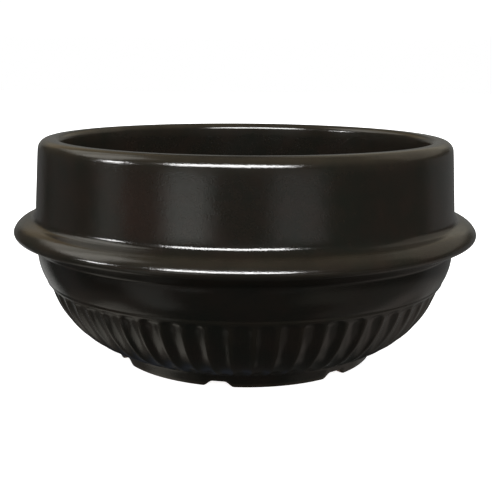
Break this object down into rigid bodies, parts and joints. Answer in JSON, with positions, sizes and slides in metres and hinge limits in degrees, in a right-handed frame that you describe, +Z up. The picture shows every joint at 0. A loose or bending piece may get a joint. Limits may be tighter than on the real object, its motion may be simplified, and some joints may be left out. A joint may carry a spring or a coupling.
{
  "type": "stew pot",
  "caption": "Round glazed earthenware stew pot: fluted bowl on a low notched foot, plain band, thick projecting flange and plain upright collar.",
  "frame": {"origin": "middle of the foot's resting face", "axes": "+Z up along the pot's own axis; -Y is the side that the picture shows, with a flute's middle on it"},
  "size_m": [0.18, 0.18, 0.0854],
  "materials": {
    "dark_glaze": "glossy brown-black glaze, thinner and browner on the edges, with bare clay under the foot"
  },
  "bodies": {
    "root": {"pot": "dark_glaze"}
  },
  "joints": []
}
